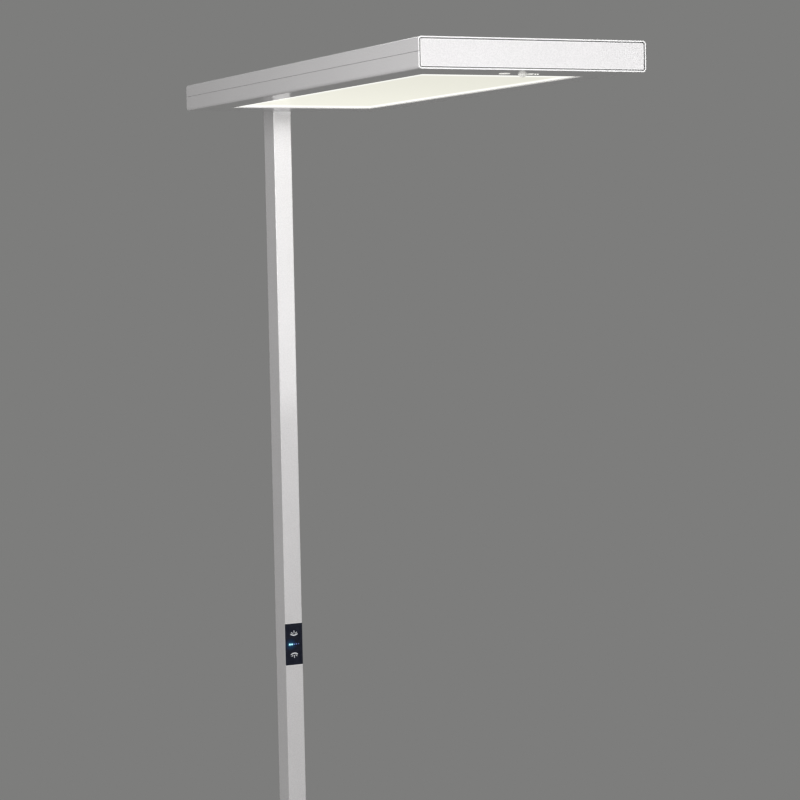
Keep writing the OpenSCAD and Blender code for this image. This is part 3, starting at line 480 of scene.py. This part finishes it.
# zinc-plated steel: blue-passivated, so cool bright grey with faint warm patches
dress(
    grained("zinc_plated_steel", "#b4b9c0", 0.3, 1.0, grain_mm=0.8, spread=0.05, other="#bdb9ad"),
    "base_screws",
    "bracket_screws",
    "arm_bolts",
    "cover_screws",
    "tray_screws",
    "end_plate_nuts",
    "sensor_standoffs",
)
# tinned steel, drawn into a can: soft bright grey
dress(grained("tinned_steel_can", "#b5b5b1", 0.25, 1.0, grain_mm=1.0, spread=0.04), "motion_detector")
# aluminium, die-cast and tumbled: matt grey, softly pitted
dress(grained("tumbled_die_cast_aluminium", "#9ea0a4", 0.5, 1.0, grain_mm=1.0, relief=0.35, spread=0.1), "head_bracket")
# aluminium, rolled or extruded and left bare: long faint lines along the head
dress(
    grained("mill_finish_aluminium", "#c3c5c8", 0.34, 1.0, grain_mm=0.5, spread=0.07, stretch=(1, 0.02, 1)),
    "cover_posts",
    "edge_rail_left",
    "edge_rail_right",
    "chassis_tray",
    "uplight_retainers",
)
# polycarbonate, moulded: driver cases and terminals, plain satin white
dress(
    grained("moulded_white_polycarbonate", "#e2e1dc", 0.4, grain_mm=0.8, spread=0.03),
    "driver_left",
    "driver_right",
    "driver_plug",
    "terminal_block",
)
# ABS with a fine spark-eroded grain: matt black
dress(
    grained("spark_grained_black_abs", "#17181a", 0.55, grain_mm=0.5, relief=0.3, spread=0.2),
    "mains_bushing",
    "control_housing",
)
# acetal, moulded: the push rods of the key switches
dress(grained("moulded_black_acetal", "#202124", 0.35, grain_mm=0.6, spread=0.08), "dim_up_plunger", "dim_down_plunger")
# soft PVC, extruded: cable jackets, satin, faintly ribbed by the wires inside
dress(
    grained("extruded_grey_pvc", "#55575a", 0.45, grain_mm=1.2, relief=0.2, spread=0.08),
    "riser_cable",
    "control_lead",
)
dress(
    grained("extruded_white_pvc", "#dcdbd6", 0.4, grain_mm=0.8, relief=0.1, spread=0.04),
    "sensor_cable",
    "driver_leads",
    "strip_leads",
)
# EPDM rubber, moulded: matt charcoal with a little bloom
dress(
    grained("moulded_epdm_rubber", "#232323", 0.8, grain_mm=0.9, relief=0.3, spread=0.15, other="#2b2b2a"),
    "rubber_feet",
)
# polyester film, white-voided: matt white with a slight pearl
dress(grained("white_polyester_film", "#f2f2f0", 0.5, grain_mm=3.0, spread=0.015), "reflector_film")
# acrylic, extruded and polished, seen against the white film
dress(grained("polished_acrylic", "#e8eeee", 0.06, grain_mm=6.0, relief=0.0, spread=0.01), "light_guide")
# acrylic, frosted: unlit satin white over the uplight
dress(grained("frosted_acrylic", "#e3e5e4", 0.5, grain_mm=0.7, relief=0.1, spread=0.015), "uplight_diffuser")
# polycarbonate, moulded milky: the daylight window gets a faint painted glow, the status windows are lit
for name, glow, nodes in (
    ("milky_polycarbonate", 0.42, ("daylight_window",)),
    ("milky_polycarbonate_lit", 0.65, ("status_window", "status_lights")),
):
    window = grained(name, "#f3f2ee", 0.25, grain_mm=1.0, spread=0.01)
    shader = window.node_tree.nodes["Principled BSDF"]
    shader.inputs["Emission Color"].default_value = colour("#fffef8")
    shader.inputs["Emission Strength"].default_value = glow
    dress(window, *nodes)

dress(lit_opal_acrylic(), "downlight_diffuser")
dress(fresnel_lens_polyethylene(), "motion_lens")
dress(smoked_cover(), "control_fascia", "dim_up_key", "dim_down_key")
dress(level_light_acrylic(), "level_light_guide")
dress(solder_mask("green_solder_mask", "#0f4a28", "#1b6038"), "control_board", "sensor_board")
# the LEDs stand 0.9 mm out of the boards, inwards at the edges and upwards under the uplight
led_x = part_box("edge_strip_right")[0][0] + 0.85 * MM
led_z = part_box("uplight_strips")[1][2]
dress(
    solder_mask("white_solder_mask_edge", "#ecebe4", "#f4f3ee", ((0, 0, 0), (led_x, 1.0, 2.5))),
    "edge_strip_left",
    "edge_strip_right",
)
dress(
    solder_mask("white_solder_mask_uplight", "#ecebe4", "#f4f3ee", ((0, 0, led_z), (1.0, 1.0, 0.85 * MM))),
    "uplight_strips",
)


# ---------------------------------------------------------------- printed symbols


def symbol(name, key_middle, flip):
    """A light symbol in grey screen ink on a key: a bowl with three rays above it, or, flipped,
    a shade with three rays below it."""
    ink = 0.06 * MM
    shape = bmesh.new()
    # the bowl is a stroke spun through part of a circle
    radius, half_turn, stroke = 8.8 * MM, math.radians(39), 1.4 * MM
    centre = Vector((0, 0, radius - 3.2 * MM))
    start = [
        shape.verts.new(centre + Vector((-math.sin(half_turn) * r, 0, -math.cos(half_turn) * r)))
        for r in (radius - stroke / 2, radius + stroke / 2)
    ]
    edge = shape.edges.new(start)
    bmesh.ops.spin(
        shape, geom=[*start, edge], cent=centre, axis=(0, -1, 0), angle=2 * half_turn, steps=24, use_duplicate=False
    )
    # the rays are flat bars that fan out from the middle of the bowl
    for turn, inner, outer in ((-45, 3.0, 6.4), (0, 2.6, 7.0), (45, 3.0, 6.4)):
        bar = bmesh.ops.create_grid(shape, x_segments=1, y_segments=1, size=0.5)["verts"]
        bmesh.ops.scale(shape, vec=(0.8 * MM, (outer - inner) * MM, 1), verts=bar)
        bmesh.ops.rotate(shape, cent=(0, 0, 0), matrix=Matrix.Rotation(math.radians(90), 3, "X"), verts=bar)
        bmesh.ops.translate(shape, vec=(0, 0, (inner + outer) / 2 * MM), verts=bar)
        bmesh.ops.rotate(shape, cent=(0, 0, 0), matrix=Matrix.Rotation(math.radians(turn), 3, "Y"), verts=bar)
        bmesh.ops.translate(shape, vec=(0, 0, -2.9 * MM), verts=bar)
    bmesh.ops.remove_doubles(shape, verts=shape.verts, dist=1e-6)
    if flip:
        bmesh.ops.rotate(shape, cent=(0, 0, 0), matrix=Matrix.Rotation(math.pi, 3, "Y"), verts=shape.verts)
    faces = bmesh.ops.extrude_face_region(shape, geom=shape.faces[:])["geom"]
    raised = [v for v in faces if isinstance(v, bmesh.types.BMVert)]
    bmesh.ops.translate(shape, vec=(0, -ink, 0), verts=raised)
    bmesh.ops.translate(shape, vec=key_middle, verts=shape.verts)
    bmesh.ops.recalc_face_normals(shape, faces=shape.faces)
    mesh = bpy.data.meshes.new(name)
    shape.to_mesh(mesh)
    shape.free()
    piece = bpy.data.objects.new(name, mesh)
    bpy.context.collection.objects.link(piece)
    return piece


# polyurethane screen ink: matt pale grey, a little broken up
screen_ink = grained("grey_screen_ink", "#eceef2", 0.6, grain_mm=0.4, spread=0.06)
for name, body, low, high, flip in (
    ("dim_up_symbol", "dim_up", up_low, up_high, False),
    ("dim_down_symbol", "dim_down", down_low, down_high, True),
):
    spot = Vector(((low[0] + high[0]) / 2, PANEL_FRONT + 0.01 * MM, (low[2] + high[2]) / 2))
    mark = symbol(name, spot, flip)
    mark.data.materials.append(screen_ink)
    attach(mark, body)

# ---------------------------------------------------------------- light, floor and background


def place_lamp(name, spot, aim, size, power):
    """A square soft white light that isn't seen by the camera."""
    data = bpy.data.lights.new(name, "AREA")
    data.size = size
    data.energy = power
    lamp = bpy.data.objects.new(name, data)
    bpy.context.collection.objects.link(lamp)
    lamp.location = spot
    lamp.rotation_euler = (Vector(aim) - Vector(spot)).to_track_quat("-Z", "Y").to_euler()
    lamp.visible_camera = False


# name, place, what it faces, side and power of each lamp
for lamp in (
    ("front_light", (1.9, -4.3, 1.8), (0, 0, 1.7), 1.4, 28),
    ("front_right_light", (3.2, -3.4, 2.0), (0, 0, 1.7), 1.4, 8),
    ("left_light", (-1.7, -1.4, 2.0), (0, 0, 1.7), 0.9, 39),
    ("right_light", (3.4, 0.0, 2.2), (0, 0, 1.4), 1.6, 18),
    ("back_light", (0.8, 2.6, 4.0), (0, 0, 1.3), 1.4, 18),
    ("back_right_light", (2.4, 2.8, 2.6), (0, 0.3, 1.2), 1.0, 32),
    ("top_light", (0.0, 0.0, 4.0), (0, 0, 1.0), 2.0, 18),
):
    place_lamp(*lamp)


def place_floor():
    """A plain pale floor that fades out well before the edge of the picture."""
    mesh = bpy.data.meshes.new("floor")
    shape = bmesh.new()
    bmesh.ops.create_circle(shape, cap_ends=True, segments=96, radius=3.3)
    bmesh.ops.translate(shape, vec=(0, 0, -0.5 * MM), verts=shape.verts)
    shape.to_mesh(mesh)
    shape.free()
    floor = bpy.data.objects.new("floor", mesh)
    bpy.context.collection.objects.link(floor)
    material, tree, shader, place = new_material("pale_floor")
    shader.inputs["Base Color"].default_value = colour("#c9c9c7")
    shader.inputs["Roughness"].default_value = 0.9
    away = add(tree, "VectorMath", {"operation": "LENGTH"}, links={0: place})
    fade = add(
        tree,
        "MapRange",
        {"interpolation_type": "SMOOTHSTEP"},
        {"From Min": 1.4, "From Max": 3.2, "To Min": 0.0, "To Max": 1.0},
        {"Value": away.outputs["Value"]},
    )
    clear = add(tree, "BsdfTransparent")
    mixed = add(
        tree,
        "MixShader",
        links={0: fade.outputs["Result"], 1: shader.outputs["BSDF"], 2: clear.outputs["BSDF"]},
    )
    # seen from below, the floor is left out, so that it doesn't hide the underside
    under = add(tree, "NewGeometry").outputs["Backfacing"]
    shown = add(
        tree,
        "MixShader",
        links={0: under, 1: mixed.outputs["Shader"], 2: clear.outputs["BSDF"]},
    )
    output = next(n for n in tree.nodes if n.type == "OUTPUT_MATERIAL")
    tree.links.new(shown.outputs["Shader"], output.inputs["Surface"])
    mesh.materials.append(material)
    floor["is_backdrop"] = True


place_floor()


def paint_background():
    """A plain grey studio wall, the same all round."""
    world = bpy.data.worlds.new("studio")
    bpy.context.scene.world = world
    world.use_nodes = True
    tree = world.node_tree
    tree.nodes.clear()
    backdrop = add(tree, "Background", values={"Color": colour("#7d7d7c")})
    add(tree, "OutputWorld", links={"Surface": backdrop.outputs["Background"]})


paint_background()

bpy.context.scene.view_settings.view_transform = "Standard"

low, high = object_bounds()
